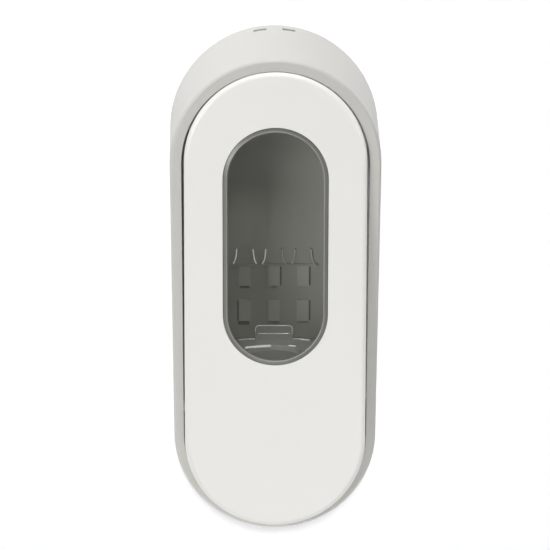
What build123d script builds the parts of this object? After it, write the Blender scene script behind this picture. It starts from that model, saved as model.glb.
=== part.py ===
from build123d import *
import os
from math import atan2, cos, degrees, hypot, pi, radians, sin, sqrt, tan

# Wall mounted push dispenser, in mm. The wall is the plane Y = 0 and the front faces -Y, +Z is up.
# The origin is the middle of the shell on the wall. A depth is a distance out from the wall.

os.makedirs("parts", exist_ok=True)

# Cover shell
rim_width = 115.0
shell_height = 268.0
shell_depth = 97.7
back_flare = 2.85
low_end_slim = 1.3
wall_gap = 0.5
shell_wall = 2.5
rim_wall = 3.0
rim_edge_radius = 1.6
bottom_flat = 0.7
outlet_width = 48.0
outlet_back = 30.0
outlet_front = 66.0
outlet_corner = 8.0

# Key slots and catch in the top of the shell
slot_x = 8.25
slot_length = 7.4
slot_back = 9.3
slot_front = 14.3
catch_back = 23.5
catch_thickness = 3.0
catch_half_width = 16.0
catch_clearance = 0.8

# Bottom hinge
hinge_depth = 11.0
hinge_rise = 7.5
hinge_boss_radius = 4.5
hinge_pin_radius = 2.0
ear_inner = 22.0
ear_width = 5.0
lug_width = 6.0
hinge_side_gap = 0.5
hinge_room = 1.0
relief_half_width = 32.0
relief_height = 13.0

# Wall plate
mount_thickness = 5.0
mount_inset = 3.0
mount_edge_chamfer = 0.8
mount_floor_rise = 15.3
mount_hole_radius = 2.6
mount_hole_edge = 7.85
mount_hole_rise = 76.0
mount_head_radius = 4.5
mount_head_depth = 2.0

# Push plate
plate_side_margin = 7.7
plate_spread = 0.3
plate_top_margin = 7.0
plate_bottom_margin = 5.3
side_gap_top = 1.5
side_gap_bottom = 0.8
end_gap_top = 0.75
end_gap_bottom = 0.45
plate_proud = 2.6
plate_skin = 2.5
plate_edge_radius = 3.0
skirt_wall = 2.2
skirt_overlap = 2.0
rest_tilt = 2.5
press_angle = 3.0
stop_x = 6.0
stop_width = 7.0
stop_thickness = 4.6
stop_catch = 1.0
stop_gap = 0.4

# Push plate pivot
pivot_drop = 14.25
pivot_setback = 8.5
pivot_rod_radius = 2.0
pivot_boss_radius = 4.5
pivot_lug_inner = 14.0
pivot_lug_width = 6.0
pivot_lug_gap = 2.0
bracket_width = 4.0
clip_thickness = 1.0
clip_radius = 4.0

# Window in the push plate
window_side_margin = 20.95
window_top_margin = 30.0
window_bottom_margin = 93.2
lens_gap = 0.15
lens_recess = 0.5
lens_bevel = 1.3
lens_flange = 3.0
lens_flange_thickness = 1.6
frame_band = 6.0
frame_thickness = 4.1
window_screw_inset = 2.9
small_shank_radius = 1.1
small_head_radius = 2.1
small_head_height = 1.4
small_grip = 1.5
cross_reach = 0.7
cross_half_width = 0.18

# Pusher on the back of the push plate
pusher_side_room = 9.0
pusher_half_height = 9.0
pusher_wall = 2.0
pusher_end_wall = 3.0
pusher_flange_reach = 9.0
pusher_flange_thickness = 2.5
pusher_screw_reach = 5.0
pad_crown_radius = 14.0
pad_rise = 4.0
pad_plug_radius = 3.0
pad_plug_length = 2.6
pad_gap = 0.35

# Refill shelf
shelf_rise = 85.5
shelf_thickness = 3.2
shelf_side_room = 13.85
cheek_wall = 3.0
flange_thickness = 4.0
flange_side_gap = 1.0
flange_foot = 15.0
neck_side_room = 5.0
neck_depth = 42.0
shelf_lip = 2.0
tab_half_width = 10.9
tab_height = 8.6
tab_thickness = 2.0
tab_corner = 2.5

# Refill panel
panel_half_width = 34.0
panel_depth = 12.0
panel_wall = 2.0
panel_corner = 5.0
panel_top_drop = 46.85
panel_gap = 0.3
panel_screw_x = 26.0
panel_screw_drop = 5.0
ledge_rise = 45.9
ledge_half_width = 25.5
ledge_thickness = 1.2
ledge_proud = 2.6
column_pitch = 17.0
guide_height = 9.3
guide_top_width = 9.9
guide_bottom_width = 12.6
guide_line = 1.0
guide_proud = 1.6
pad_width = 7.0
pad_height = 12.6
pad_proud = 2.0
pad_rises = (39.1, 17.7)

# Pump slide on its two rods
slide_drop = 36.7
nose_setback = 15.0
nose_length = 12.0
nose_side_room = 3.5
nose_taper = 6.0
yoke_thickness = 12.0
yoke_half_height = 7.0
yoke_side_gap = 2.0
rod_radius = 3.0
rod_inset = 8.0
boss_radius = 6.5
boss_length = 5.0
front_lug_gap = 4.0
front_lug_thickness = 4.0
front_lug_web = 3.0
bush_wall = 2.0
bush_flange_radius = 6.5
bush_flange_thickness = 1.5
cap_radius = 5.5
cap_thickness = 2.0
cradle_half_width = 11.0
cradle_thickness = 6.0
cradle_web = 2.0
pump_radius = 12.0

# Key latch under the key slots
latch_base_half_width = 20.0
latch_base_height = 20.0
latch_base_thickness = 3.5
latch_base_drop = 13.0
latch_travel = 4.0
latch_head_gap = 1.2
latch_arm_width = 7.0
hook_drop = 8.0
hook_thickness = 3.0
hook_nose_length = 2.5
hook_nose_gap = 1.0
hook_nose_drop = 4.3
rail_width = 4.0
rail_lip = 3.0
rail_lip_thickness = 2.5
spring_room = 8.0
ledge_bar_height = 2.5
latch_spring_x = 14.0

# Springs
pump_coil_radius = 5.2
pump_wire_radius = 0.6
pump_coil_turns = 9
latch_coil_radius = 1.4
latch_wire_radius = 0.3
latch_coil_turns = 5
marks_per_quarter = 8

# Fits
press_clearance = 0.02
running_clearance = 0.05
slide_clearance = 0.4
seat_gap = 0.1
cut_margin = 1.0

# Worked out from the sizes above
rim_radius = rim_width / 2
back_radius = rim_radius + back_flare
straight_half = shell_height / 2 - rim_radius
draft = degrees(atan2(back_flare, shell_depth - wall_gap))
floor_level = bottom_flat - shell_height / 2
hinge_level = floor_level + hinge_rise
mount_radius = back_radius - shell_wall - mount_inset
mount_floor = hinge_level + mount_floor_rise
mount_hole_x = mount_radius - mount_hole_edge
plate_radius = rim_radius - plate_side_margin
plate_low_radius = plate_radius + plate_spread
plate_top = shell_height / 2 - plate_top_margin
plate_bottom = plate_bottom_margin - shell_height / 2
opening_top = plate_top + end_gap_top
opening_bottom = plate_bottom - end_gap_bottom
plate_front = shell_depth + plate_proud
plate_back = plate_front - plate_skin
rim_back = shell_depth - rim_wall
skirt_back = rim_back - skirt_overlap
pivot_level = plate_top - pivot_drop
pivot_depth = rim_back - pivot_setback
pivot_axis = Axis((0, -pivot_depth, pivot_level), (1, 0, 0))
window_radius = plate_radius - window_side_margin
window_top = plate_top - window_top_margin
window_bottom = plate_bottom + window_bottom_margin
window_level = (window_top + window_bottom) / 2
window_straight = (window_top - window_bottom) / 2 - window_radius
shelf_level = floor_level + shelf_rise
shelf_half_width = mount_radius - shelf_side_room
cheek_inner = shelf_half_width - cheek_wall
slide_level = shelf_level - slide_drop
nose_front = shell_depth - nose_setback
yoke_front = nose_front - nose_length
yoke_back = yoke_front - yoke_thickness
yoke_half_width = cheek_inner - yoke_side_gap
rod_x = yoke_half_width - rod_inset
lug_back = yoke_front + front_lug_gap
lug_front = lug_back + front_lug_thickness
flange_front = mount_thickness + flange_thickness
boss_front = flange_front + boss_length
front_lug_inner = rod_x - rod_radius - front_lug_web
neck_radius = front_lug_inner - neck_side_room
nose_root_half_width = rod_x - bush_flange_radius - nose_side_room
nose_half_width = nose_root_half_width - nose_taper
pusher_half_width = front_lug_inner - pusher_side_room
pusher_flange_half = pusher_half_width + pusher_flange_reach
pusher_screw_x = pusher_half_width + pusher_screw_reach
panel_top = straight_half + mount_radius - panel_top_drop


def shell_inside(depth):
    """Radius of the shell's inner face at a depth."""
    return back_radius - shell_wall - (depth - wall_gap) * tan(radians(draft))


slot_outer = slot_x + slot_length / 2
latch_top = straight_half + sqrt(shell_inside(slot_front) ** 2 - slot_outer ** 2) - latch_head_gap
latch_base_top = latch_top - latch_base_drop
latch_base_bottom = latch_base_top - latch_base_height
latch_back = mount_thickness + slide_clearance
latch_front = latch_back + latch_base_thickness
hook_top = latch_top - hook_drop
nose_top = latch_top - hook_nose_drop
catch_front = catch_back + catch_thickness
catch_bottom = nose_top + catch_clearance


def stadium(radius, half_straight):
    """Upright stadium outline from its end radius and half its straight length."""
    return SlotCenterToCenter(2 * half_straight, 2 * radius, rotation=90)


def pear(top_radius, low_radius, top, bottom):
    """Upright outline of a round top and a round bottom of their own radii, with straight sides between."""
    high = top - top_radius
    low = bottom + low_radius
    lean = (low_radius - top_radius) / (high - low)
    out = sqrt(1 - lean ** 2)
    shoulder = (top_radius * out, high + top_radius * lean)
    hip = (low_radius * out, low + low_radius * lean)
    far_shoulder = (-shoulder[0], shoulder[1])
    far_hip = (-hip[0], hip[1])
    crown = ThreePointArc(shoulder, (0, top), far_shoulder)
    foot = ThreePointArc(far_hip, (0, bottom), hip)
    return make_face([Line(hip, shoulder), crown, Line(far_shoulder, far_hip), foot])


def shell_outline(inset):
    """Outline of the shell at the wall, drawn in by an inset."""
    end = straight_half + back_radius - inset
    return pear(back_radius - inset, back_radius - low_end_slim - inset, end, -end)


def plate_outline(inset):
    """Outline of the push plate, drawn in by an inset."""
    return pear(plate_radius - inset, plate_low_radius - inset, plate_top - inset, plate_bottom + inset)


def slab(outline, back, front, taper=0):
    """Solid of an outline seen from the front, between two depths."""
    return extrude(Plane.XZ.offset(back) * outline, front - back, taper=taper)


def block(x_low, x_high, back, front, bottom, top):
    """Box between two sides, two depths and two levels."""
    middle = ((x_low + x_high) / 2, -(back + front) / 2, (bottom + top) / 2)
    return Pos(*middle) * Box(x_high - x_low, front - back, top - bottom)


def rib(points, x_low, x_high):
    """Solid of an outline seen from the side, given as depth and level, between two sides."""
    outline = Polygon(*[(-depth, level) for depth, level in points], align=None)
    return extrude(Plane.YZ.offset(x_low) * outline, x_high - x_low, dir=(1, 0, 0))


def shaft(radius, x_low, x_high, depth, level):
    """Cylinder from side to side."""
    return extrude(Plane.YZ.offset(x_low) * Pos(-depth, level) * Circle(radius), x_high - x_low)


def spindle(radius, x, level, back, front):
    """Cylinder square to the wall."""
    return slab(Pos(x, level) * Circle(radius), back, front)


def mirrored(shape):
    """The shape and its copy on the other side."""
    return [shape, mirror(shape, Plane.YZ)]


def both(shape, pair):
    """Shape joined with a pair of pieces."""
    return shape + pair[0] + pair[1]


def tilted(shape):
    """Push plate piece drawn upright, turned out to its rest."""
    return shape.rotate(pivot_axis, -rest_tilt)


def screw(x, level, seat, tip, head_radius=small_head_radius, shank_radius=small_shank_radius):
    """Cross recessed screw: its head stands on the seat depth, on the side away from the tip."""
    outward = 1 if seat > tip else -1
    head_end = seat + outward * small_head_height
    low, high = sorted((seat, head_end))
    head = spindle(head_radius, x, level, low, high)
    shank_low, shank_high = sorted((tip, seat))
    recess_low, recess_high = sorted((head_end, head_end - outward * small_head_height / 2))
    arm = head_radius * cross_reach
    blade = head_radius * cross_half_width
    cross = block(x - arm, x + arm, recess_low, recess_high, level - blade, level + blade)
    cross += block(x - blade, x + blade, recess_low, recess_high, level - arm, level + arm)
    return head + spindle(shank_radius, x, level, shank_low, shank_high) - cross


def spring(coil_radius, wire_radius, turns, length):
    """Open spring along +Z from the origin, swept on two arcs for each quarter turn of its helix."""
    rise = (length - 2 * wire_radius) / turns
    steps = 4 * turns
    slope = rise / (2 * pi)

    def point(step):
        angle = step * pi / 2
        return Vector(coil_radius * cos(angle), coil_radius * sin(angle), wire_radius + slope * angle)

    def heading(step):
        angle = step * pi / 2
        return Vector(-coil_radius * sin(angle), coil_radius * cos(angle), slope).normalized()

    edges = []
    for step in range(steps):
        start, end = point(step), point(step + 1)
        leave, arrive = heading(step), heading(step + 1)
        across = end - start
        both_ways = across.dot(leave + arrive)
        spread = 2 * (1 - leave.dot(arrive))
        reach = (sqrt(both_ways ** 2 + spread * across.dot(across)) - both_ways) / spread
        middle = (start + end + (leave - arrive) * reach) / 2
        first = TangentArc(start, middle, tangent=leave)
        edges += [first, TangentArc(middle, end, tangent=first % 1)]
    path = Wire(edges)
    coil = sweep(Plane(origin=path @ 0, z_dir=path % 0) * Circle(wire_radius), path=path)
    marks = [point(step / marks_per_quarter) for step in range(marks_per_quarter * steps + 1)]
    apart = range(2 * marks_per_quarter, len(marks))
    nearest = min((marks[i + k] - marks[i]).length for k in apart for i in range(len(marks) - k))
    gap = round(nearest - 2 * wire_radius, 2)
    print("spring of", turns, "turns, least gap to itself", gap, "mm")
    return coil


def make_cover_shell():
    """Drafted shell with its rim, slots, catch, pivot brackets, hinge lugs and outlet."""
    outer = slab(shell_outline(0), wall_gap, shell_depth, draft)
    outer = fillet(outer.faces().sort_by(Axis.Y)[0].edges(), rim_edge_radius)
    below = block(-back_radius, back_radius, 0, shell_depth, -shell_height, floor_level)
    outer -= below
    inner = slab(shell_outline(shell_wall), wall_gap, rim_back, draft)
    inner -= Pos(0, 0, shell_wall) * below
    shell = outer - inner
    opening = pear(plate_radius + side_gap_top, plate_low_radius + side_gap_bottom,
                   opening_top, opening_bottom)
    shell -= slab(opening, rim_back - cut_margin, shell_depth + cut_margin)
    top = straight_half + back_radius
    catch = block(-catch_half_width, catch_half_width, catch_back, catch_front, catch_bottom, top)
    bracket_inner = pivot_lug_inner + pivot_lug_width + pivot_lug_gap
    bracket_outer = bracket_inner + bracket_width
    bracket = block(bracket_inner, bracket_outer, pivot_depth - pivot_boss_radius,
                    pivot_depth + pivot_boss_radius, pivot_level, top)
    bracket += shaft(pivot_boss_radius, bracket_inner, bracket_outer, pivot_depth, pivot_level)
    bracket -= shaft(pivot_rod_radius + press_clearance, 0, rim_width, pivot_depth, pivot_level)
    shell += catch & outer
    shell = both(shell, [piece & outer for piece in mirrored(bracket)])
    relief_back = hinge_depth + hinge_boss_radius + hinge_room
    shell -= block(-relief_half_width, relief_half_width, 0, relief_back, -shell_height,
                   hinge_level + relief_height)
    shell = both(shell, mirrored(make_hinge_lug(relief_back)))
    slot = block(slot_x - slot_length / 2, slot_outer, slot_back, slot_front, latch_top, top)
    for cut in mirrored(slot):
        shell -= cut
    outlet = RectangleRounded(outlet_width, outlet_front - outlet_back, outlet_corner)
    outlet_foot = floor_level - cut_margin
    outlet_middle = Pos(0, -(outlet_back + outlet_front) / 2, outlet_foot)
    shell -= extrude(outlet_middle * outlet, hinge_level + hinge_boss_radius - outlet_foot)
    return shell


def make_hinge_lug(relief_back):
    """Lug that stands on the shell's floor and holds one hinge pin."""
    lug_outer = ear_inner - hinge_side_gap
    lug_inner = lug_outer - lug_width
    floor_inside = floor_level + shell_wall / 2
    web = [(hinge_depth, hinge_level + hinge_boss_radius), (relief_back, hinge_level + hinge_boss_radius),
           (relief_back + 2 * lug_width, floor_inside), (relief_back, floor_inside),
           (hinge_depth, hinge_level - hinge_boss_radius)]
    lug = rib(web, lug_inner, lug_outer)
    lug += shaft(hinge_boss_radius, lug_inner, lug_outer, hinge_depth, hinge_level)
    return lug - shaft(hinge_pin_radius + press_clearance, 0, ear_inner, hinge_depth, hinge_level)


def make_hinge_pins():
    """Two pins, each pressed into a lug and running in an ear."""
    pin_inner = ear_inner - hinge_side_gap - lug_width
    return mirrored(shaft(hinge_pin_radius, pin_inner, ear_inner + ear_width, hinge_depth, hinge_level))


def make_pivot_rod():
    """Rod that the push plate swings on."""
    reach = pivot_lug_inner + pivot_lug_width + pivot_lug_gap + bracket_width + 2 * clip_thickness
    return [shaft(pivot_rod_radius, -reach, reach, pivot_depth, pivot_level)]


def make_pivot_clips():
    """Two push-on clips that keep the pivot rod in its brackets."""
    seat = pivot_lug_inner + pivot_lug_width + pivot_lug_gap + bracket_width + seat_gap
    clip = shaft(clip_radius, seat, seat + clip_thickness, pivot_depth, pivot_level)
    clip -= shaft(pivot_rod_radius + press_clearance, 0, rim_width, pivot_depth, pivot_level)
    return mirrored(clip)


def make_wall_plate():
    """Back plate with screw holes, hinge ears, latch rails and the bar under the latch springs."""
    outline = stadium(mount_radius, straight_half)
    plate = slab(outline, 0, mount_thickness)
    plate -= block(-mount_radius, mount_radius, 0, mount_thickness, -shell_height, mount_floor)
    plate = chamfer(plate.faces().sort_by(Axis.Y)[0].edges(), mount_edge_chamfer)
    for x in (-mount_hole_x, mount_hole_x):
        for z in (-mount_hole_rise, mount_hole_rise):
            plate -= spindle(mount_hole_radius, x, z, 0, mount_thickness)
            plate -= spindle(mount_head_radius, x, z, mount_thickness - mount_head_depth, mount_thickness)
    ear_root = mount_floor + 2 * hinge_boss_radius
    ear_shape = [(0, ear_root), (hinge_depth, ear_root), (hinge_depth + hinge_boss_radius, hinge_level),
                 (hinge_depth - hinge_boss_radius, hinge_level), (0, mount_floor - hinge_boss_radius)]
    ear = rib(ear_shape, ear_inner, ear_inner + ear_width)
    ear += shaft(hinge_boss_radius, ear_inner, ear_inner + ear_width, hinge_depth, hinge_level)
    ear -= shaft(hinge_pin_radius + running_clearance, 0, rim_width, hinge_depth, hinge_level)
    plate = both(plate, mirrored(ear))
    rail_inner = latch_base_half_width + slide_clearance
    lip_back = latch_front + slide_clearance
    rail_top = latch_base_top
    rail_bottom = latch_base_bottom - latch_travel
    rail = block(rail_inner, rail_inner + rail_width, mount_thickness, lip_back, rail_bottom, rail_top)
    rail += block(rail_inner - rail_lip, rail_inner + rail_width, lip_back, lip_back + rail_lip_thickness,
                  rail_bottom, rail_top)
    plate = both(plate, mirrored(rail))
    bar_top = latch_base_bottom - spring_room
    plate += block(-latch_base_half_width, latch_base_half_width, mount_thickness, lip_back,
                   bar_top - ledge_bar_height, bar_top)
    for x in (-panel_screw_x, panel_screw_x):
        plate -= spindle(small_shank_radius + press_clearance, x, panel_top - panel_screw_drop,
                         mount_thickness - small_grip, mount_thickness)
    for x, z in shelf_screw_places():
        plate -= spindle(small_shank_radius + press_clearance, x, z,
                         mount_thickness - small_grip, mount_thickness)
    return [plate]


def shelf_screw_places():
    """Places of the four screws in the shelf's flange."""
    upper = shelf_level - shelf_thickness - 2 * small_head_radius
    lower = slide_level - flange_foot + 2 * small_head_radius
    x = neck_radius
    return [(-x, upper), (x, upper), (-x, lower), (x, lower)]


def make_shelf_screws():
    """Four screws that hold the shelf to the wall plate."""
    tip = mount_thickness - small_grip + seat_gap
    return [screw(x, z, flange_front, tip) for x, z in shelf_screw_places()]


def make_refill_shelf():
    """Shelf with an open neck slot, carried by a back flange, two cheeks and two front lugs."""
    half = shelf_half_width
    under = shelf_level - shelf_thickness
    foot = slide_level - yoke_half_height
    shelf = block(-half, half, mount_thickness, lug_front + shelf_lip, under, shelf_level)
    flange_half = cheek_inner - flange_side_gap
    shelf += block(-flange_half, flange_half, mount_thickness, flange_front,
                   slide_level - flange_foot, shelf_level)
    cheek = block(cheek_inner, half, mount_thickness, lug_front, foot, shelf_level)
    cheek += block(front_lug_inner, half, lug_back, lug_front, foot, shelf_level)
    cheek += spindle(boss_radius, rod_x, slide_level, mount_thickness, boss_front)
    cheek += block(flange_half, half, mount_thickness, flange_front, foot, shelf_level)
    shelf = both(shelf, mirrored(cheek))
    rod_hole = spindle(rod_radius + press_clearance, rod_x, slide_level,
                       mount_thickness + seat_gap, shell_depth)
    for hole in mirrored(rod_hole):
        shelf -= hole
    neck = Pos(0, -neck_depth, under) * extrude(Circle(neck_radius), shelf_thickness)
    shelf -= neck + block(-neck_radius, neck_radius, neck_depth, shell_depth, under, shelf_level)
    tab_outline = Pos(0, shelf_level) * RectangleRounded(2 * tab_half_width, 2 * tab_height, tab_corner)
    tab = slab(tab_outline, panel_depth + panel_gap, panel_depth + panel_gap + tab_thickness)
    tab -= block(-half, half, 0, shell_depth, shelf_level - 2 * tab_height, under)
    shelf += tab
    for x, z in shelf_screw_places():
        shelf -= spindle(small_shank_radius + running_clearance, x, z, mount_thickness, flange_front)
    return [shelf]


def make_refill_panel():
    """Hollow liner with a ledge, three tapered guides and two rows of three pads."""
    bottom = shelf_level + panel_gap
    middle = (bottom + panel_top) / 2
    height = panel_top - bottom
    outline = Pos(0, middle) * RectangleRounded(2 * panel_half_width, height, panel_corner)
    hollow = Pos(0, middle) * RectangleRounded(2 * (panel_half_width - panel_wall), height - 2 * panel_wall,
                                               panel_corner - panel_wall)
    panel = slab(outline, mount_thickness, panel_depth)
    panel -= slab(hollow, mount_thickness, panel_depth - panel_wall)
    ledge = shelf_level + ledge_rise
    panel += block(-ledge_half_width, ledge_half_width, panel_depth, panel_depth + ledge_proud,
                   ledge - ledge_thickness, ledge)
    for column in (-column_pitch, 0, column_pitch):
        panel += make_guide(column, ledge)
        for rise in pad_rises:
            panel += make_pad(column, shelf_level + rise)
    for x in (-panel_screw_x, panel_screw_x):
        level = panel_top - panel_screw_drop
        panel += spindle(small_head_radius, x, level, mount_thickness, panel_depth)
        panel -= spindle(small_shank_radius + running_clearance, x, level, mount_thickness, panel_depth)
    return [panel]


def make_guide(column, ledge):
    """Raised outline of a tapered guide that stands on the ledge."""
    foot = guide_bottom_width / 2
    head = guide_top_width / 2
    outer = Polygon((-foot, 0), (foot, 0), (head, guide_height), (-head, guide_height), align=None)
    inner = Polygon((-foot + guide_line, 0), (foot - guide_line, 0), (head - guide_line, guide_height),
                    (-head + guide_line, guide_height), align=None)
    return slab(Pos(column, ledge) * (outer - inner), panel_depth, panel_depth + guide_proud)


def make_pad(column, level):
    """Raised pad of the panel."""
    return slab(Pos(column, level) * Rectangle(pad_width, pad_height), panel_depth, panel_depth + pad_proud)


def make_panel_screws():
    """Two screws that hold the panel to the wall plate."""
    level = panel_top - panel_screw_drop
    tip = mount_thickness - small_grip + seat_gap
    return [screw(x, level, panel_depth, tip) for x in (-panel_screw_x, panel_screw_x)]


def make_guide_rods():
    """Two rods from the shelf's bosses to its front lugs."""
    front = lug_front + cap_thickness + seat_gap
    return mirrored(spindle(rod_radius, rod_x, slide_level, mount_thickness + 2 * seat_gap, front))


def make_rod_caps():
    """Two push-on caps in front of the lugs."""
    cap = spindle(cap_radius, rod_x, slide_level, lug_front + seat_gap, lug_front + seat_gap + cap_thickness)
    return mirrored(cap - spindle(rod_radius + press_clearance, rod_x, slide_level, lug_front, shell_depth))


def make_pump_slide():
    """Yoke on the two rods with a nose for the pusher."""
    low = slide_level - yoke_half_height
    high = slide_level + yoke_half_height
    slide = block(-yoke_half_width, yoke_half_width, yoke_back, yoke_front, low, high)
    nose = [(-nose_root_half_width, yoke_front), (nose_root_half_width, yoke_front),
            (nose_half_width, nose_front), (-nose_half_width, nose_front)]
    nose_outline = Polygon(*[(x, -depth) for x, depth in nose], align=None)
    slide += extrude(Pos(0, 0, low) * nose_outline, high - low, dir=(0, 0, 1))
    for x in (-rod_x, rod_x):
        slide -= spindle(rod_radius + bush_wall + press_clearance, x, slide_level, yoke_back, yoke_front)
    return [slide]


def make_slide_bushes():
    """Two flanged bushes that run on the rods."""
    tube = spindle(rod_radius + bush_wall, rod_x, slide_level, yoke_back, yoke_front)
    tube += spindle(bush_flange_radius, rod_x, slide_level, yoke_front, yoke_front + bush_flange_thickness)
    return mirrored(tube - spindle(rod_radius + running_clearance, rod_x, slide_level, 0, shell_depth))


def make_pump_pad():
    """Cradle on the back of the yoke, hollowed for the refill's pump."""
    low = slide_level - yoke_half_height
    high = slide_level + yoke_half_height
    cradle = block(-cradle_half_width, cradle_half_width, yoke_back - cradle_thickness, yoke_back, low, high)
    pump_middle = yoke_back - cradle_web - pump_radius
    return [cradle - Pos(0, -pump_middle, low) * extrude(Circle(pump_radius), high - low)]


def make_pump_spring():
    """Return spring round the right hand rod."""
    length = yoke_back - boss_front - 2 * seat_gap
    coil = spring(pump_coil_radius, pump_wire_radius, pump_coil_turns, length)
    return Pos(rod_x, -boss_front - seat_gap, slide_level) * Rot(90, 0, 0) * coil


def make_latch_spring():
    """Right hand spring between the wall plate's bar and the latch."""
    length = spring_room - 2 * seat_gap
    coil = spring(latch_coil_radius, latch_wire_radius, latch_coil_turns, length)
    middle = (latch_back + latch_front) / 2
    return Pos(latch_spring_x, -middle, latch_base_bottom - spring_room + seat_gap) * coil


def make_key_latch():
    """Sliding latch with two arms that end in a key pad and a hook."""
    latch = block(-latch_base_half_width, latch_base_half_width, latch_back, latch_front,
                  latch_base_bottom, latch_base_top)
    x_low = slot_x - latch_arm_width / 2
    x_high = slot_x + latch_arm_width / 2
    nose_back = catch_front + hook_nose_gap
    nose_front_face = nose_back + hook_nose_length
    arm_foot = latch_base_top - latch_arm_width
    arm = block(x_low, x_high, latch_back, latch_front, arm_foot, latch_top)
    arm += block(x_low, x_high, latch_back, slot_front, hook_top - hook_thickness, latch_top)
    arm += block(x_low, x_high, latch_back, nose_front_face, hook_top - hook_thickness, hook_top)
    arm += block(x_low, x_high, nose_back, nose_front_face, hook_top - hook_thickness, nose_top)
    return [both(latch, mirrored(arm))]


def make_push_plate():
    """Front plate with a skirt, a window, pivot lugs and stop hooks."""
    deep = skirt_back - (plate_top - plate_bottom) * sin(radians(rest_tilt))
    plate = slab(plate_outline(0), deep, plate_front)
    plate = fillet(plate.faces().sort_by(Axis.Y)[0].edges(), plate_edge_radius)
    plate -= slab(plate_outline(skirt_wall), deep, plate_back)
    plate -= slab(Pos(0, window_level) * stadium(window_radius, window_straight), plate_back, plate_front)
    for x, z in window_screw_places():
        plate -= spindle(small_shank_radius + press_clearance, x, z, plate_back, plate_back + small_grip)
    for x in (-pusher_screw_x, pusher_screw_x):
        plate -= spindle(small_shank_radius + press_clearance, x, pusher_level,
                         plate_back, plate_back + small_grip)
    plate = tilted(plate)
    plate -= block(-rim_width, rim_width, 0, skirt_back, -shell_height, shell_height)
    lug_outer = pivot_lug_inner + pivot_lug_width
    lug = block(pivot_lug_inner, lug_outer, pivot_depth, plate_back + plate_skin / 2,
                pivot_level - pivot_boss_radius, pivot_level + pivot_boss_radius)
    lug += shaft(pivot_boss_radius, pivot_lug_inner, lug_outer, pivot_depth, pivot_level)
    lug -= shaft(pivot_rod_radius + running_clearance, 0, rim_width, pivot_depth, pivot_level)
    plate = both(plate, mirrored(tilted(lug)))
    stop_bottom = opening_bottom - stop_catch
    stop_top = plate_bottom + skirt_wall
    stop_front = rim_back - stop_gap
    stop = block(stop_x - stop_width / 2, stop_x + stop_width / 2, stop_front - stop_thickness, stop_front,
                 stop_bottom, stop_top)
    return [both(plate, mirrored(stop))]


def make_window_lens():
    """Smoked lens with a bevelled front and a flange behind the plate."""
    radius = window_radius - lens_gap
    outline = Pos(0, window_level) * stadium(radius, window_straight)
    lens = slab(outline, plate_back, plate_front - lens_recess)
    lens = chamfer(lens.faces().sort_by(Axis.Y)[0].edges(), lens_bevel)
    flange = Pos(0, window_level) * stadium(window_radius + lens_flange, window_straight)
    lens += slab(flange, plate_back - lens_flange_thickness, plate_back)
    return [tilted(lens)]


def window_screw_places():
    """Places of the six screws round the window frame."""
    x = window_radius + lens_flange + window_screw_inset
    low = window_level - window_straight
    high = window_level + window_straight
    return [(side * x, z) for z in (low, window_level, high) for side in (-1, 1)]


def make_window_frame():
    """Frame that clamps the lens flange to the back of the plate."""
    pocket = window_radius + lens_flange + lens_gap
    frame_back = plate_back - frame_thickness
    frame = slab(stadium(pocket + frame_band, window_straight), frame_back, plate_back)
    frame -= slab(stadium(pocket, window_straight), plate_back - lens_flange_thickness - seat_gap, plate_back)
    frame -= slab(stadium(window_radius, window_straight), frame_back, plate_back)
    frame = Pos(0, 0, window_level) * frame
    for x, z in window_screw_places():
        frame -= spindle(small_shank_radius + running_clearance, x, z, frame_back, plate_back)
    return [tilted(frame)]


def make_window_screws():
    """Six screws that hold the frame."""
    tip = plate_back + small_grip - seat_gap
    return [tilted(screw(x, z, plate_back - frame_thickness, tip)) for x, z in window_screw_places()]


def find_crown():
    """Upright depth and level of the pad's crown axis that puts the pad on the nose at rest."""
    turn = radians(rest_tilt)
    level_out = slide_level - pivot_level
    depth_out = nose_front + pad_gap + pad_crown_radius - pivot_depth
    upright_depth = depth_out * cos(turn) + level_out * sin(turn)
    upright_level = level_out * cos(turn) - depth_out * sin(turn)
    return pivot_depth + upright_depth, pivot_level + upright_level


crown_depth, pusher_level = find_crown()
pad_seat = crown_depth - pad_crown_radius + pad_rise


def make_pusher_arm():
    """Hollow arm on a flange, closed at the end that carries the pad."""
    low = pusher_level - pusher_half_height
    high = pusher_level + pusher_half_height
    flange_back = plate_back - pusher_flange_thickness
    arm = block(-pusher_flange_half, pusher_flange_half, flange_back, plate_back, low, high)
    arm += block(-pusher_half_width, pusher_half_width, pad_seat, plate_back, low, high)
    hollow_half = pusher_half_width - pusher_wall
    arm -= block(-hollow_half, hollow_half, pad_seat + pusher_end_wall, plate_back,
                 low + pusher_wall, high - pusher_wall)
    arm -= spindle(pad_plug_radius + press_clearance, 0, pusher_level, pad_seat, pad_seat + pusher_end_wall)
    for x in (-pusher_screw_x, pusher_screw_x):
        arm -= spindle(small_shank_radius + running_clearance, x, pusher_level, flange_back, plate_back)
    return [tilted(arm)]


def make_pusher_pad():
    """Rounded wear pad with a plug."""
    crown = shaft(pad_crown_radius, -pusher_half_width, pusher_half_width, crown_depth, pusher_level)
    crown &= block(-pusher_half_width, pusher_half_width, pad_seat - pad_rise, pad_seat,
                   pusher_level - pusher_half_height, pusher_level + pusher_half_height)
    return [tilted(crown + spindle(pad_plug_radius, 0, pusher_level, pad_seat, pad_seat + pad_plug_length))]


def make_pusher_screws():
    """Two screws that hold the pusher arm."""
    seat = plate_back - pusher_flange_thickness
    tip = plate_back + small_grip - seat_gap
    return [tilted(screw(x, pusher_level, seat, tip)) for x in (-pusher_screw_x, pusher_screw_x)]


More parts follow.
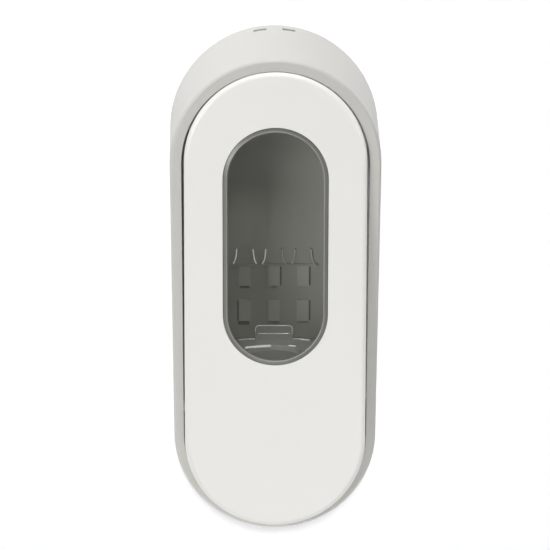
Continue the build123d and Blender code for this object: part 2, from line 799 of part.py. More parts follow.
pump_springs = mirrored(make_pump_spring())
latch_springs = mirrored(make_latch_spring())
nodes = {
    "wall_plate": make_wall_plate(),
    "refill_panel": make_refill_panel(),
    "refill_shelf": make_refill_shelf(),
    "guide_rods": make_guide_rods(),
    "rod_caps": make_rod_caps(),
    "panel_screws": make_panel_screws(),
    "shelf_screws": make_shelf_screws(),
    "cover_shell": [make_cover_shell()],
    "hinge_pins": make_hinge_pins(),
    "pivot_rod": make_pivot_rod(),
    "pivot_clips": make_pivot_clips(),
    "push_plate": make_push_plate(),
    "window_lens": make_window_lens(),
    "window_frame": make_window_frame(),
    "window_screws": make_window_screws(),
    "pusher_arm": make_pusher_arm(),
    "pusher_pad": make_pusher_pad(),
    "pusher_screws": make_pusher_screws(),
    "pump_slide": make_pump_slide(),
    "slide_bushes": make_slide_bushes(),
    "pump_pad": make_pump_pad(),
    "pump_spring_right": [pump_springs[0]],
    "pump_spring_left": [pump_springs[1]],
    "key_latch": make_key_latch(),
    "latch_spring_right": [latch_springs[0]],
    "latch_spring_left": [latch_springs[1]],
}
for name, pieces in nodes.items():
    solids = [solid for piece in pieces for solid in piece.solids()]
    export_step(Compound(children=solids), f"parts/{name}.step")

slide_travel = hypot(crown_depth - pivot_depth, pusher_level - pivot_level)
start = atan2(crown_depth - pivot_depth, pivot_level - pusher_level) + radians(rest_tilt)
slide_travel *= sin(start) - sin(start - radians(press_angle))
print("pivot at depth", round(pivot_depth, 3), "level", round(pivot_level, 3))
print("hinge at depth", round(hinge_depth, 3), "level", round(hinge_level, 3))
print("slide travel", round(slide_travel, 3), "mm for", press_angle, "degrees")
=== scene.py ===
import bmesh
import bpy
import numpy as np
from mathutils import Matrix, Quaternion, Vector


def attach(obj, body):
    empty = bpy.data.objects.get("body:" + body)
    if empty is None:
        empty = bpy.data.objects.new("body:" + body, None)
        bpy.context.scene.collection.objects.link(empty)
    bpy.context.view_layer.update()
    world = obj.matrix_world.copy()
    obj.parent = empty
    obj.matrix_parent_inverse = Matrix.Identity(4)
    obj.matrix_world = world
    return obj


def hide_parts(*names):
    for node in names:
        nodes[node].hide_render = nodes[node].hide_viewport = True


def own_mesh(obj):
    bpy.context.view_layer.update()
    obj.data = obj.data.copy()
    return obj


# Wall soap dispenser in metres, in the part's own frame: the wall is Y = 0, the front faces -Y, +Z is up.
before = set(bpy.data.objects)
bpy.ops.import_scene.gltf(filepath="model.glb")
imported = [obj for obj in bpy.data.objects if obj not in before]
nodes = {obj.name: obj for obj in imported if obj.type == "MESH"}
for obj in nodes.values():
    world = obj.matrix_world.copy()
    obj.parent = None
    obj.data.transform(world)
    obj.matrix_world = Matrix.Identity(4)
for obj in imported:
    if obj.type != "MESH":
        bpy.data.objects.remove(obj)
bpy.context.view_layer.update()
MM = 0.001

# Camera, matched to the photograph's outlines for an image 550 pixels wide
CAMERA_PLACE = (-0.0129, -1.37307, 0.36353)
CAMERA_TARGET = (0.0002, -0.060, 0.004178)
CAMERA_ROLL = 0.15
FOCAL_PIXELS = 2407
IMAGE_PIXELS = 550
SENSOR_MM = 36.0

# Studio sheet in metres, the part of it that the dispenser covers, and the light of the sheet and the room
FLOOR_LEVEL = -0.42
FLOOR_FRONT = -3.0
COVE_RADIUS = 0.20
COVE_POINTS = 25
WALL_TOP = 1.6
STUDIO_HALF_WIDTH = 2.5
SHEET_GAP_MM = 0.2
COVERED_RADIUS = 0.0595
COVERED_STRAIGHT = 0.0765
SHEET_GLOW = 0.27
ROOM_LEVEL = 0.18

# Lamps: the point they face, the distances that several share and the size of a small one, in metres
LAMP_TARGET = (0.0, -0.06, 0.0)
NEAR = 0.9
FAR = 2.0
FARTHEST = 3.0
SMALL = (0.2, 0.2)

# Push plate and window in mm, drawn upright and then turned about the pivot to the plate's rest
PLATE_FRONT = 100.3
PLATE_BACK = 97.8
PIVOT_DEPTH = 86.2
PIVOT_LEVEL = 112.75
REST_TILT = 2.5
LENS_RADIUS = 28.7
LENS_LEVEL = 30.75
LENS_STRAIGHT = 37.4
LENS_RECESS = 0.25
LENS_FLANGE = 3.15
LENS_FLANGE_BACK = 96.2
LENS_TURN_POINTS = 49

# Lens bead and edge, each point an inset from the outline and a height over the pane, in mm
LENS_BEAD = ((2.5, 0.0), (2.38, 0.04), (2.28, 0.18), (2.18, 0.32), (2.06, 0.38), (1.9, 0.35), (1.75, 0.26))
LENS_EDGE = ((0.25, -0.1), (0.08, -0.2), (0.0, -0.4))

# Refill panel, its pads and the painted shadows beside and under them, in mm
PANEL_DEPTH = 12.0
PAD_FRONT = 14.0
PAD_BAND = 0.3
PAD_HALF_WIDTH = 3.5
PAD_HALF_HEIGHT = 6.3
PAD_LEVELS = (-8.7, -30.1)
SHADOW_LIFT = 0.05
SHADOW_BESIDE = 0.55
SHADOW_UNDER = 1.0
SHADOW_DROP = 0.4
SHADOW_HALF_HEIGHT = 6.0

# Guides over the pads, in mm: each widens from the top by a taper and a flare at the foot
GUIDE_COLUMNS = (-17.0, 0.0, 17.0)
GUIDE_FOOT = -1.9
GUIDE_HEIGHT = 9.3
GUIDE_PROUD = 1.6
GUIDE_HALF_TOP = 4.85
GUIDE_TAPER = 0.5
GUIDE_FLARE = 1.7

# Tab and shelf in mm, with the ends, the depth and the forward turn of the shelf's back edge
TAB_HALF_WIDTH = 10.9
TAB_TOP = -39.2
TAB_CORNER = 2.2
TAB_FRONT = 14.3
TAB_BAR_HALF_WIDTH = 9.5
TAB_BAR_DROP = 4.9
SHELF_LEVEL = -47.8
SHELF_BACK_LEFT = -21
SHELF_BACK_RIGHT = 22
SHELF_BACK_DEPTH = 12.8
SHELF_BACK_TURN = 3.0

# Ridges on the shelf in mm: start and end as x and depth, the bow between them, and the bead's radius
SHELF_RIDGES = (((-17.2, 31.2), (-1.5, 27.0), 0.6, 0.85),
                ((8.2, 26.6), (13.0, 27.8), 0.0, 0.55),
                ((15.0, 13.3), (21.0, 15.8), 0.0, 0.6))

# Radii of the other beads in mm, and how finely every bead is drawn
GUIDE_BEAD = 0.42
TAB_BEAD = 0.35
TAB_BAR_BEAD = 0.3
SHELF_BACK_BEAD = 0.4
BEAD_RUN = np.linspace(0, 1, 33)
BEAD_SIDES = 12
CORNER_POINTS = 9

# Plastics: typical refractive indices, the size in mm of the clouds that their flow leaves, and how far the
# tool's texture moves the roughness either way
MOULDED_IOR = 1.53
POLYCARBONATE_IOR = 1.58
FLOW_MM = 45
LENS_FLOW_MM = 30
EDGE_FLOW_MM = 20
GRIT_GLOSS = 0.05

# Metals: the length of a streak over its width, its depth in mm, and how far it moves the roughness
STREAK_STRETCH = 25
STREAK_DEPTH_MM = 0.02
STREAK_GLOSS = 0.08


def linear(hex_colour):
    """sRGB hex text to a linear colour with alpha."""
    channels = np.array([int(hex_colour[i:i + 2], 16) for i in (1, 3, 5)]) / 255
    low = channels / 12.92
    high = ((channels + 0.055) / 1.055) ** 2.4
    return (*np.where(channels <= 0.04045, low, high), 1.0)


def add(tree, kind, settings=(), links=()):
    """Adds a shader node, sets its values and properties, and links sockets to its inputs."""
    node = tree.nodes.new(kind)
    for key, value in dict(settings).items():
        if isinstance(key, int) or key in node.inputs:
            node.inputs[key].default_value = value
        else:
            setattr(node, key, value)
    for key, socket in dict(links).items():
        tree.links.new(socket, node.inputs[key])
    return node


def blank(name):
    """A new material with an empty node tree, and the tree."""
    material = bpy.data.materials.new(name)
    material.use_nodes = True
    material.node_tree.nodes.clear()
    return material, material.node_tree


def finish_surface(tree, shader):
    """Connects a shader to the material's output."""
    add(tree, "ShaderNodeOutputMaterial", {}, {"Surface": shader})


def per_metre(size_mm):
    """Texture scale for a pattern whose features are this many millimetres across."""
    return 1 / (size_mm * MM)


def moulded(name, pale, deep, grit_mm, bump_mm, rough, shine=0.5, raised_highlight=None):
    """Injection moulded plastic: a faint cloud of flow from pale to deep, and a tool texture in bump and
    gloss. The real texture is finer, and is drawn as coarse as grit_mm so that it shows.
    raised_highlight, a colour and a depth in mm, paints the faces at that depth in a paler tone: a
    painted highlight on the raised faces."""
    material, tree = blank(name)
    coords = add(tree, "ShaderNodeTexCoord").outputs["Object"]
    flow = add(tree, "ShaderNodeTexNoise", {"Scale": per_metre(FLOW_MM), "Detail": 3.0}, {"Vector": coords})
    grit = add(tree, "ShaderNodeTexNoise", {"Scale": per_metre(grit_mm), "Detail": 2.0}, {"Vector": coords})
    tint = add(tree, "ShaderNodeMix", {"data_type": "RGBA", 6: linear(pale), 7: linear(deep)},
               {0: flow.outputs["Fac"]})
    # Painted highlight: the faces at the given depth take a paler tone than the rest
    if raised_highlight:
        highlight_tone, depth = raised_highlight
        place = add(tree, "ShaderNodeSeparateXYZ", {}, {0: coords})
        front = add(tree, "ShaderNodeMath", {"operation": "COMPARE", 1: -depth * MM, 2: PAD_BAND * MM},
                    {0: place.outputs["Y"]})
        tint = add(tree, "ShaderNodeMix", {"data_type": "RGBA", 7: linear(highlight_tone)},
                   {0: front.outputs[0], 6: tint.outputs[2]})
    gloss = add(tree, "ShaderNodeMapRange", {"To Min": rough - GRIT_GLOSS, "To Max": rough + GRIT_GLOSS},
                {"Value": grit.outputs["Fac"]})
    bump = add(tree, "ShaderNodeBump", {"Strength": 0.6, "Distance": bump_mm * MM},
               {"Height": grit.outputs["Fac"]})
    shader = add(tree, "ShaderNodeBsdfPrincipled", {"IOR": MOULDED_IOR, "Specular IOR Level": shine},
                 {"Base Color": tint.outputs[2], "Roughness": gloss.outputs["Result"],
                  "Normal": bump.outputs["Normal"]})
    finish_surface(tree, shader.outputs["BSDF"])
    return material


def drawn_metal(name, pale, deep, streak_mm, rough, along):
    """Bright metal: fine streaks along one axis in colour, gloss and bump."""
    material, tree = blank(name)
    coords = add(tree, "ShaderNodeTexCoord").outputs["Object"]
    stretch = [1.0, 1.0, 1.0]
    stretch[along] = 1 / STREAK_STRETCH
    turned = add(tree, "ShaderNodeMapping", {"Scale": stretch}, {"Vector": coords})
    streaks = add(tree, "ShaderNodeTexNoise", {"Scale": per_metre(streak_mm), "Detail": 3.0},
                  {"Vector": turned.outputs["Vector"]})
    tint = add(tree, "ShaderNodeMix", {"data_type": "RGBA", 6: linear(pale), 7: linear(deep)},
               {0: streaks.outputs["Fac"]})
    gloss = add(tree, "ShaderNodeMapRange", {"To Min": rough - STREAK_GLOSS, "To Max": rough + STREAK_GLOSS},
                {"Value": streaks.outputs["Fac"]})
    bump = add(tree, "ShaderNodeBump", {"Strength": 0.3, "Distance": STREAK_DEPTH_MM * MM},
               {"Height": streaks.outputs["Fac"]})
    shader = add(tree, "ShaderNodeBsdfPrincipled", {"Metallic": 1.0},
                 {"Base Color": tint.outputs[2], "Roughness": gloss.outputs["Result"],
                  "Normal": bump.outputs["Normal"]})
    finish_surface(tree, shader.outputs["BSDF"])
    return material


def smoked_polycarbonate():
    """Clear polycarbonate with a grey dye: dark, glossy, and see-through to the refill panel."""
    material, tree = blank("smoked_polycarbonate")
    coords = add(tree, "ShaderNodeTexCoord").outputs["Object"]
    flow = add(tree, "ShaderNodeTexNoise", {"Scale": per_metre(LENS_FLOW_MM), "Detail": 2.0},
               {"Vector": coords})
    tint = add(tree, "ShaderNodeMix", {"data_type": "RGBA", 6: linear("#4B4C46"), 7: linear("#3F403B")},
               {0: flow.outputs["Fac"]})
    shader = add(tree, "ShaderNodeBsdfPrincipled",
                 {"Roughness": 0.08, "IOR": POLYCARBONATE_IOR, "Alpha": 0.12},
                 {"Base Color": tint.outputs[2]})
    finish_surface(tree, shader.outputs["BSDF"])
    return material


def lens_trim_painted_light(name, pale, deep):
    """The lens's moulded bead and edge: a closed grey with a soft gloss. Its tone is painted light: a pale
    one is a painted highlight on the bead, a dark one painted shade at the edge."""
    material, tree = blank(name)
    coords = add(tree, "ShaderNodeTexCoord").outputs["Object"]
    flow = add(tree, "ShaderNodeTexNoise", {"Scale": per_metre(EDGE_FLOW_MM), "Detail": 2.0},
               {"Vector": coords})
    tint = add(tree, "ShaderNodeMix", {"data_type": "RGBA", 6: linear(pale), 7: linear(deep)},
               {0: flow.outputs["Fac"]})
    shader = add(tree, "ShaderNodeBsdfPrincipled", {"Roughness": 0.32, "IOR": POLYCARBONATE_IOR},
                 {"Base Color": tint.outputs[2]})
    finish_surface(tree, shader.outputs["BSDF"])
    return material


def studio_white():
    """Matt white sweep: it reads as pure white to the eye and in gloss, keeps the shadow, is dark where the
    dispenser covers it, and is open from behind. The covered part is what lies within a radius of an
    upright line."""
    material, tree = blank("studio_white")
    sheet = add(tree, "ShaderNodeBsdfDiffuse", {"Color": linear("#F4F4F6")})
    path = add(tree, "ShaderNodeLightPath")
    seen = add(tree, "ShaderNodeMath", {"operation": "MAXIMUM"},
               {0: path.outputs["Is Camera Ray"], 1: path.outputs["Is Glossy Ray"]})
    seen = add(tree, "ShaderNodeMath", {"operation": "MAXIMUM"},
               {0: seen.outputs[0], 1: path.outputs["Is Transmission Ray"]})
    place = add(tree, "ShaderNodeTexCoord").outputs["Object"]
    mirrored = add(tree, "ShaderNodeVectorMath", {"operation": "ABSOLUTE"}, {0: place})
    beyond = add(tree, "ShaderNodeVectorMath", {"operation": "SUBTRACT", 1: (0, 0, COVERED_STRAIGHT)},
                 {0: mirrored.outputs[0]})
    past = add(tree, "ShaderNodeVectorMath", {"operation": "MAXIMUM", 1: (0, 0, 0)}, {0: beyond.outputs[0]})
    reach = add(tree, "ShaderNodeVectorMath", {"operation": "LENGTH"}, {0: past.outputs[0]})
    uncovered = add(tree, "ShaderNodeMath", {"operation": "GREATER_THAN", 1: COVERED_RADIUS},
                    {0: reach.outputs["Value"]})
    shown = add(tree, "ShaderNodeMath", {"operation": "MULTIPLY"},
                {0: seen.outputs[0], 1: uncovered.outputs[0]})
    lift = add(tree, "ShaderNodeMath", {"operation": "MULTIPLY", 1: SHEET_GLOW}, {0: shown.outputs[0]})
    glow = add(tree, "ShaderNodeEmission", {"Color": (1, 1, 1, 1)}, {"Strength": lift.outputs[0]})
    both = add(tree, "ShaderNodeAddShader", {}, {0: sheet.outputs[0], 1: glow.outputs[0]})
    clear = add(tree, "ShaderNodeBsdfTransparent")
    side = add(tree, "ShaderNodeNewGeometry")
    open_back = add(tree, "ShaderNodeMixShader", {},
                    {0: side.outputs["Backfacing"], 1: both.outputs[0], 2: clear.outputs[0]})
    finish_surface(tree, open_back.outputs[0])
    return material


def grid_mesh(name, points, wrap=False):
    """Mesh of a grid of points: neighbours along both parameters share quads, and a wrapped grid closes on
    itself."""
    rows, columns = points.shape[:2]
    index = np.arange(rows * columns).reshape(rows, columns)
    if wrap:
        index = np.concatenate([index, index[:, :1]], axis=1)
    corners = [index[:-1, :-1], index[1:, :-1], index[1:, 1:], index[:-1, 1:]]
    quads = np.stack(corners, axis=-1).reshape(-1, 4)
    mesh = bpy.data.meshes.new(name)
    mesh.from_pydata(points.reshape(-1, 3).tolist(), [], quads.tolist())
    mesh.update()
    return mesh


def weld(mesh, distance=1e-6):
    """Joins points that coincide, drops the faces that collapse with them, and turns the rest outwards."""
    work = bmesh.new()
    work.from_mesh(mesh)
    bmesh.ops.remove_doubles(work, verts=work.verts, dist=distance)
    bmesh.ops.recalc_face_normals(work, faces=work.faces)
    work.to_mesh(mesh)
    work.free()


def place_piece(name, mesh, materials, body, crease=35):
    """Links a new piece at the origin with its materials, smooth up to a crease angle in degrees, and lets
    it ride on a body."""
    piece = bpy.data.objects.new(name, mesh)
    for material in materials:
        mesh.materials.append(material)
    mesh.polygons.foreach_set("use_smooth", np.ones(len(mesh.polygons), bool))
    mesh.set_sharp_from_angle(angle=np.radians(crease))
    bpy.context.scene.collection.objects.link(piece)
    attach(piece, body)
    return piece


def at_rest(points):
    """Turns upright push plate points, given as x, depth and level in mm, to the plate's rest in metres."""
    turn = np.radians(REST_TILT)
    depth = points[..., 1] - PIVOT_DEPTH
    level = points[..., 2] - PIVOT_LEVEL
    out = PIVOT_DEPTH + depth * np.cos(turn) - level * np.sin(turn)
    rise = PIVOT_LEVEL + depth * np.sin(turn) + level * np.cos(turn)
    return np.stack([points[..., 0], -out, rise], axis=-1) * MM


def make_lens():
    """Window lens: a profile of inset and depth carried round the window's stadium. From the middle line it
    runs over the flat pane, a low bead, a slope down to the edge, the flange and back to the middle line
    behind."""
    face = PLATE_FRONT - LENS_RECESS
    bead = [(inset, face + height) for inset, height in LENS_BEAD]
    edge = [(inset, face + height) for inset, height in LENS_EDGE] + [(0.0, PLATE_BACK)]
    flange = [(-LENS_FLANGE, PLATE_BACK), (-LENS_FLANGE, LENS_FLANGE_BACK)]
    profile = np.array([(LENS_RADIUS, face), *bead, *edge, *flange, (LENS_RADIUS, LENS_FLANGE_BACK)])
    half_turn = np.linspace(0, np.pi, LENS_TURN_POINTS)
    angle = np.concatenate([half_turn, half_turn + np.pi])
    centre = LENS_LEVEL + LENS_STRAIGHT * np.repeat([1, -1], len(half_turn))
    radius = LENS_RADIUS - profile[:, :1]
    across = radius * np.cos(angle)
    level = centre + radius * np.sin(angle)
    depth = np.broadcast_to(profile[:, 1:], across.shape)
    mesh = grid_mesh("window_pane", at_rest(np.stack([across, depth, level], axis=-1)), wrap=True)
    ring = np.arange(len(profile) - 1).repeat(len(angle))
    part = np.where((ring > 0) & (ring < len(profile) - 2), np.where(ring < len(bead), 1, 2), 0)
    mesh.polygons.foreach_set("material_index", part.astype(np.int32))
    weld(mesh)
    # The bead's pale tone is a painted highlight, the edge's dark tone painted shade
    bead_highlight = lens_trim_painted_light("lens_bead_painted_highlight", "#92938E", "#8B8C87")
    edge_shade = lens_trim_painted_light("lens_trim_painted_light", "#72736D", "#6B6C66")
    lens = place_piece("window_pane", mesh, [smoked_polycarbonate(), bead_highlight, edge_shade], "plate",
                       crease=25)
    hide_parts("window_lens")


def bead_path(x, depth, level):
    """Path of x, depth and level in mm, from arrays and single values."""
    return np.stack(np.broadcast_arrays(x, depth, level), axis=-1)


def bead_mesh(name, path, radius):
    """Half sunk bead: a circle carried along a path of x, depth and level in mm. It stands square to the
    path, and its radius falls to nothing at both ends like a half round tip."""
    along = np.gradient(path, axis=0)
    along /= np.linalg.norm(along, axis=1, keepdims=True)
    travel = np.concatenate([[0], np.linalg.norm(np.diff(path, axis=0), axis=1).cumsum()])
    tip = np.minimum(travel, travel[-1] - travel) / radius
    swell = radius * np.sqrt(1 - (1 - np.minimum(tip, 1)) ** 2)
    upright = np.ptp(path[:, 2]) > np.ptp(path[:, 1])
    up = np.array([0.0, 1.0, 0.0]) if upright else np.array([0.0, 0.0, 1.0])
    side = np.cross(along, up)
    side /= np.linalg.norm(side, axis=1, keepdims=True)
    lift = np.cross(side, along)
    turn = np.linspace(0, 2 * np.pi, BEAD_SIDES, endpoint=False)[None, :, None]
    spread = np.cos(turn) * side[:, None, :] + np.sin(turn) * lift[:, None, :]
    points = path[:, None, :] + swell[:, None, None] * spread
    placed = np.stack([points[..., 0], -points[..., 1], points[..., 2]], axis=-1) * MM
    mesh = grid_mesh(name, placed, wrap=True)
    weld(mesh)
    return mesh


def guide_beads():
    """Radius and path of the two beads on each guide. Half the guide's width is that at its top plus the
    taper times u plus the flare times u to the fourth, as u runs from top to foot."""
    half_width = GUIDE_HALF_TOP + GUIDE_TAPER * BEAD_RUN + GUIDE_FLARE * BEAD_RUN ** 4
    level = GUIDE_FOOT + GUIDE_HEIGHT * (1 - BEAD_RUN)
    return [(GUIDE_BEAD, bead_path(column + side * half_width, PANEL_DEPTH + GUIDE_PROUD, level))
            for column in GUIDE_COLUMNS for side in (-1, 1)]


def tab_beads():
    """Radius and path of the tab's beads: its edge, which is an upright line and a quarter circle mirrored
    about the middle, and a straight bar below its top."""
    corner = np.linspace(0, np.pi / 2, CORNER_POINTS)
    half_x = np.concatenate([[-TAB_HALF_WIDTH], TAB_CORNER * (1 - np.cos(corner)) - TAB_HALF_WIDTH])
    half_level = np.concatenate([[SHELF_LEVEL], TAB_TOP - TAB_CORNER * (1 - np.sin(corner))])
    edge_x = np.concatenate([half_x, -half_x[::-1]])
    edge_level = np.concatenate([half_level, half_level[::-1]])
    bar_x = TAB_BAR_HALF_WIDTH * (2 * BEAD_RUN - 1)
    return [(TAB_BEAD, bead_path(edge_x, TAB_FRONT, edge_level)),
            (TAB_BAR_BEAD, bead_path(bar_x, TAB_FRONT, TAB_TOP - TAB_BAR_DROP))]


def shelf_beads():
    """Radius and path of the shelf's beads: its back edge, which turns forward as the sixth power of x, and
    ridges along straight lines that a half sine wave bows back."""
    back_x = SHELF_BACK_LEFT + (SHELF_BACK_RIGHT - SHELF_BACK_LEFT) * BEAD_RUN
    back_depth = SHELF_BACK_DEPTH + SHELF_BACK_TURN * np.abs(back_x / SHELF_BACK_RIGHT) ** 6
    beads = [(SHELF_BACK_BEAD, bead_path(back_x, back_depth, SHELF_LEVEL))]
    for start, end, bow, radius in SHELF_RIDGES:
        x = start[0] + (end[0] - start[0]) * BEAD_RUN
        depth = start[1] + (end[1] - start[1]) * BEAD_RUN - bow * np.sin(np.pi * BEAD_RUN)
        beads.append((radius, bead_path(x, depth, SHELF_LEVEL)))
    return beads


def make_beads():
    """Rounded edges behind the window as glossy beads much paler than the panel: the pale tone is a
    painted highlight along the guides, tab and shelf edge, and painted glints on the shelf's ridges.
    """
    # Pale glossy plastic: painted highlight along the edges and painted glints on the ridges
    highlight_plastic = moulded("painted_highlight_bead", "#E6E7E2", "#DCDDD8", grit_mm=0.5, bump_mm=0.005, rough=0.16)
    pieces = []
    for i, (radius, path) in enumerate(guide_beads() + tab_beads() + shelf_beads()):
        name = f"highlight_bead_{i + 1}"
        pieces.append(place_piece(name, bead_mesh(name, path, radius), [highlight_plastic], "back"))
    return pieces


def make_pad_shadows():
    """Painted shadows of the pads, beside and under them: flat dark strips laid just on the panel, each a
    grid of two by two points from its middle, half width and half height."""
    # Painted shadow in two tones, a dark one and a paler one, standing in for the pads' cast shadows
    deep = moulded("painted_pad_shadow_dark", "#7E7F79", "#777872", grit_mm=0.4, bump_mm=0.02, rough=0.6)
    pale_shadow = moulded("painted_pad_shadow_pale", "#A0A19B", "#999A94", grit_mm=0.4, bump_mm=0.02, rough=0.6)
    left, middle, right = GUIDE_COLUMNS
    upper, lower = PAD_LEVELS
    beside = PAD_HALF_WIDTH + SHADOW_BESIDE
    under = PAD_HALF_HEIGHT + SHADOW_UNDER
    # Shadow tone, middle as x and level, half width and half height
    strips = [(deep, middle + beside, upper - SHADOW_DROP, 0.5, SHADOW_HALF_HEIGHT),
              (deep, right + beside, upper - SHADOW_DROP, 0.6, SHADOW_HALF_HEIGHT),
              (deep, right + beside, lower - SHADOW_DROP, 0.55, SHADOW_HALF_HEIGHT),
              (deep, left - beside, lower - SHADOW_DROP, 0.55, SHADOW_HALF_HEIGHT),
              (deep, left, upper - under, 2.7, 1.0),
              (pale_shadow, middle + 0.3, upper - under, 1.6, 0.8),
              (deep, left - 0.7, lower - under - 0.4, 3.4, 1.5),
              (pale_shadow, middle - 0.1, lower - under - 0.1, 3.4, 1.2),
              (pale_shadow, right + 0.1, lower - under, 3.4, 1.0)]
    across, rise = np.meshgrid([-1, 1], [1, -1])
    depth = np.full(across.shape, PANEL_DEPTH + SHADOW_LIFT)
    pieces = []
    for i, (finish, x, level, half_width, half_height) in enumerate(strips):
        points = np.stack([x + half_width * across, -depth, level + half_height * rise], axis=-1) * MM
        name = f"pad_shadow_strip_{i + 1}"
        pieces.append(place_piece(name, grid_mesh(name, points), [finish], "back"))
    return pieces


def make_springs():
    """Springs: each is its CAD coil with the points joined, a new piece that rides on the back body in
    place of the hidden CAD node."""
    # Drawn spring wire, a dull bright grey with lines along it
    wire = drawn_metal("spring_wire", "#B5B7B9", "#9B9DA0", streak_mm=0.4, rough=0.28, along=2)
    # Kind of spring, its joint, the axis it lies along, and which end of its box is fixed
    kinds = (("pump_spring", "pump_travel", 1, 1), ("latch_spring", "latch_travel", 2, 0))
    for kind, joint, along, fixed in kinds:
        for side in ("left", "right"):
            node = f"{kind}_{side}"
            coil = nodes[node].data
            points = np.empty(3 * len(coil.vertices))
            coil.vertices.foreach_get("co", points)
            faces = [list(face.vertices) for face in coil.polygons]
            mesh = bpy.data.meshes.new(f"{node}_coil")
            mesh.from_pydata(points.reshape(-1, 3).tolist(), [], faces)
            weld(mesh)
            piece = place_piece(f"{node}_coil", mesh, [wire], "back", crease=60)
            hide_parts(node)
            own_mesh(piece)


def make_studio():
    """Wall, cove and floor in one sheet: a profile of two straight lines joined by a quarter circle, carried
    along X."""
    turn = np.linspace(0, np.pi / 2, COVE_POINTS)
    cove_y = -COVE_RADIUS * (1 - np.cos(turn))
    cove_z = FLOOR_LEVEL + COVE_RADIUS * (1 - np.sin(turn))
    profile_y = np.concatenate([[0.0], cove_y, [FLOOR_FRONT]]) + SHEET_GAP_MM * MM
    profile_z = np.concatenate([[WALL_TOP], cove_z, [FLOOR_LEVEL]])
    across = np.array([-STUDIO_HALF_WIDTH, STUDIO_HALF_WIDTH])
    points = np.stack(np.broadcast_arrays(across[None, :], profile_y[:, None], profile_z[:, None]), axis=-1)
    studio = bpy.data.objects.new("studio", grid_mesh("studio", points))
    studio.data.materials.append(studio_white())
    studio.data.polygons.foreach_set("use_smooth", np.ones(len(studio.data.polygons), bool))
    bpy.context.scene.collection.objects.link(studio)
    return studio


def aim(thing, place, target, roll=0.0):
    """Puts a lamp or the camera at a place, looking at a target, and rolls it by some degrees."""
    thing.location = place
    look = (Vector(target) - Vector(place)).to_track_quat("-Z", "Y")
    thing.rotation_euler = (look @ Quaternion((0, 0, 1), np.radians(roll))).to_euler()
    bpy.context.scene.collection.objects.link(thing)


def make_camera():
    """Camera at the photograph's angle."""
    data = bpy.data.cameras.new("camera")
    data.sensor_width = SENSOR_MM
    data.lens = SENSOR_MM * FOCAL_PIXELS / IMAGE_PIXELS
    camera = bpy.data.objects.new("camera", data)
    aim(camera, CAMERA_PLACE, CAMERA_TARGET, CAMERA_ROLL)
    bpy.context.scene.camera = camera


def make_lamp(name, bearing, distance, size, level, group, shades=None):
    """Soft rectangular lamp that faces the dispenser, with its bearing as degrees to the right and up. Its
    level is what a white card facing it would show. It lights one group, and only the things in shades,
    where given, stand in its way."""
    data = bpy.data.lights.new(name, "AREA")
    data.shape = "RECTANGLE"
    data.size, data.size_y = size
    data.energy = level * (np.pi * distance) ** 2
    turn, rise = np.radians(bearing)
    out = distance * np.cos(rise)
    place = (out * np.sin(turn), LAMP_TARGET[1] - out * np.cos(turn), distance * np.sin(rise))
    lamp = bpy.data.objects.new(name, data)
    aim(lamp, place, LAMP_TARGET)
    lamp.light_linking.receiver_collection = group
    lamp.light_linking.blocker_collection = shades


def link_group(name, things, state="INCLUDE"):
    """Light group that takes in only some things, or leaves only them out."""
    group = bpy.data.collections.new(name)
    for thing in things:
        group.objects.link(thing)
    for entry in group.collection_objects:
        entry.light_linking.link_state = state
    return group


def make_lights(studio, beads, pad_shadows):
    """Softboxes round and under the dispenser, and lamps that reach only the plate, the pieces behind the
    window, the back or the sheet."""
    behind = ("refill_panel", "refill_shelf", "pump_slide", "pump_pad", "slide_bushes", "guide_rods",
              "wall_plate")
    inside = [nodes[name] for name in behind] + beads + pad_shadows
    guide_count = len(guide_beads())
    sheet_only = link_group("sheet_only", [studio])
    not_sheet = link_group("not_sheet", [studio], "EXCLUDE")
    inside_only = link_group("inside_only", inside)
    outside_only = link_group("outside_only", [studio] + inside, "EXCLUDE")
    guides_only = link_group("guides_only", beads[:guide_count])
    beads_only = link_group("beads_only", beads[guide_count:])
    ridges_only = link_group("ridges_only", beads[-len(SHELF_RIDGES):])
    shelf_only = link_group("shelf_only", [nodes["refill_shelf"]])
    pump_only = link_group("pump_only", [nodes["pump_slide"], nodes["pump_pad"]])
    plate_only = link_group("plate_only", [nodes["push_plate"]])
    shell_only = link_group("shell_only", [nodes["cover_shell"]])
    back_only = link_group("back_only", [nodes["wall_plate"], nodes["cover_shell"]])
    make_lamp("softbox_left", (-47, 18), FAR, (0.6, 0.8), 0.46, not_sheet)
    make_lamp("softbox_right", (58, 12), FAR, (0.5, 0.7), 0.10, not_sheet)
    make_lamp("softbox_over", (2, 78), FARTHEST, (1.2, 1.0), 0.69, not_sheet)
    make_lamp("softbox_low", (22, -24), NEAR, (0.5, 0.2), 0.09, outside_only)
    make_lamp("softbox_under", (-14, -62), NEAR, (0.6, 0.3), 0.13, outside_only, not_sheet)
    make_lamp("softbox_floor", (20, -82), NEAR, (0.6, 0.3), 0.36, shell_only, not_sheet)
    make_lamp("strip_right", (72, 12), FAR, (0.4, 1.0), 0.16, plate_only)
    make_lamp("window_lamp_left", (-27, 8), FAR, (0.9, 1.1), 0.62, inside_only)
    make_lamp("window_lamp_front", (8, 33), FAR, (0.5, 0.3), 0.13, inside_only)
    make_lamp("shelf_lamp", (-3, 57), FAR, (0.3, 0.15), 0.3, shelf_only)
    make_lamp("flange_lamp", (-2, -42), 1.0, SMALL, 0.22, shelf_only, shelf_only)
    make_lamp("guide_lamp", (17, 22), FAR, SMALL, 0.62, guides_only)
    make_lamp("bead_lamp", (4, 24), FAR, SMALL, 0.4, beads_only)
    make_lamp("glint_lamp", (4, 24), FAR, SMALL, 0.55, ridges_only)
    make_lamp("pump_lamp", (-0.8, 20), FAR, SMALL, 0.33, pump_only)
    make_lamp("back_lamp", (180, 0), FAR, (0.3, 0.3), 0.7, back_only, not_sheet)
    make_lamp("sheet_lamp", (-0.5, 19.6), FARTHEST, (0.18, 0.18), 0.5, sheet_only)


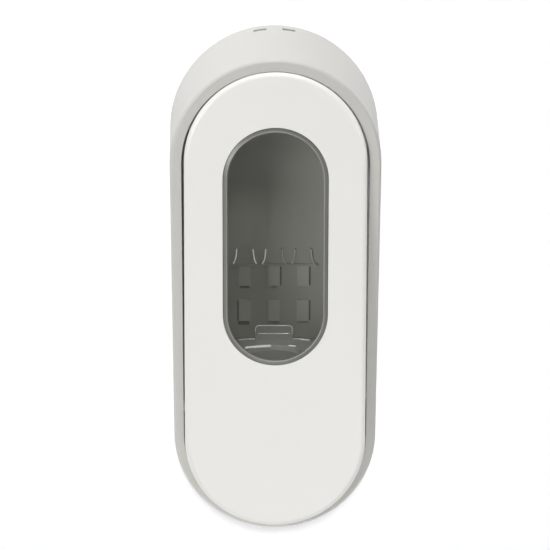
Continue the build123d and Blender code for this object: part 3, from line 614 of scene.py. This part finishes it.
def make_room():
    """Even white room: white to the camera, and a low level of light on everything."""
    world = bpy.data.worlds.new("room")
    bpy.context.scene.world = world
    world.use_nodes = True
    tree = world.node_tree
    tree.nodes.clear()
    path = add(tree, "ShaderNodeLightPath")
    level = add(tree, "ShaderNodeMix", {"data_type": "FLOAT", 2: ROOM_LEVEL, 3: 1.0},
                {0: path.outputs["Is Camera Ray"]})
    room = add(tree, "ShaderNodeBackground", {"Color": (1, 1, 1, 1)}, {"Strength": level.outputs[0]})
    add(tree, "ShaderNodeOutputWorld", {}, {"Surface": room.outputs[0]})


def dress(material, *names):
    """Gives CAD nodes a material."""
    for name in names:
        mesh = nodes[name].data
        mesh.materials.clear()
        mesh.materials.append(material)


# Shell: ABS from a lightly textured tool, an even pale grey with a low sheen
dress(moulded("shell_abs_grey", "#C7C6C1", "#C3C2BD", grit_mm=0.5, bump_mm=0.02, rough=0.42, shine=0.3),
      "cover_shell")
# Push plate: warm white ABS from a finer tool, a little smoother than the shell
dress(moulded("plate_abs_white", "#E8E7E2", "#E5E4DF", grit_mm=0.5, bump_mm=0.015, rough=0.36), "push_plate")
# Wall plate: ABS from a coarser tool, duller than the shell
dress(moulded("mount_abs_grey", "#B4B4AF", "#ACACA7", grit_mm=0.5, bump_mm=0.03, rough=0.5), "wall_plate")
# Refill panel: greenish grey ABS; the pads' front faces take a paler tone, a painted highlight
dress(moulded("panel_abs_grey", "#BDBEB3", "#B6B7AC", grit_mm=0.4, bump_mm=0.02, rough=0.4,
              raised_highlight=("#CACBBF", PAD_FRONT)), "refill_panel")
# Shelf: polystyrene from a polished tool, glossy enough to catch the light
dress(moulded("shelf_styrene", "#B9BAB5", "#AEAFAA", grit_mm=0.6, bump_mm=0.01, rough=0.18), "refill_shelf")
# Window frame and pusher arm: glass filled nylon, a darker and matt grey
dress(moulded("frame_nylon_grey", "#8E8F8A", "#848580", grit_mm=0.5, bump_mm=0.03, rough=0.5),
      "window_frame", "pusher_arm")
# Pump slide and key latch: grey acetal, waxy where it slides
dress(moulded("slide_acetal_grey", "#B4B5B0", "#ACADA8", grit_mm=0.4, bump_mm=0.02, rough=0.38),
      "pump_slide", "key_latch")
# Bushes and pusher pad: natural acetal, a milky white
dress(moulded("bearing_acetal_white", "#E4E3DC", "#DAD9D2", grit_mm=0.4, bump_mm=0.01, rough=0.35),
      "slide_bushes", "pusher_pad")
# Pump pad: moulded elastomer, matt with a coarse grain
dress(moulded("pad_elastomer", "#B2B3AD", "#A8A9A3", grit_mm=0.6, bump_mm=0.05, rough=0.5, shine=0.4),
      "pump_pad")
# Pivot rod and hinge pins: zinc plated steel, bright with lines along the rod
dress(drawn_metal("zinc_plated_steel", "#C9CBCD", "#B4B7BA", streak_mm=0.4, rough=0.3, along=0),
      "pivot_rod", "hinge_pins")
# Guide rods, caps, clips and screws: ground steel, brighter and smoother
dress(drawn_metal("ground_steel_rod", "#CCCDCE", "#B9BBBD", streak_mm=0.4, rough=0.22, along=1),
      "guide_rods", "rod_caps", "panel_screws", "shelf_screws", "window_screws", "pusher_screws",
      "pivot_clips")

make_lens()
make_springs()
make_camera()
make_lights(make_studio(), make_beads(), make_pad_shadows())
make_room()
bpy.context.scene.view_settings.view_transform = "Standard"
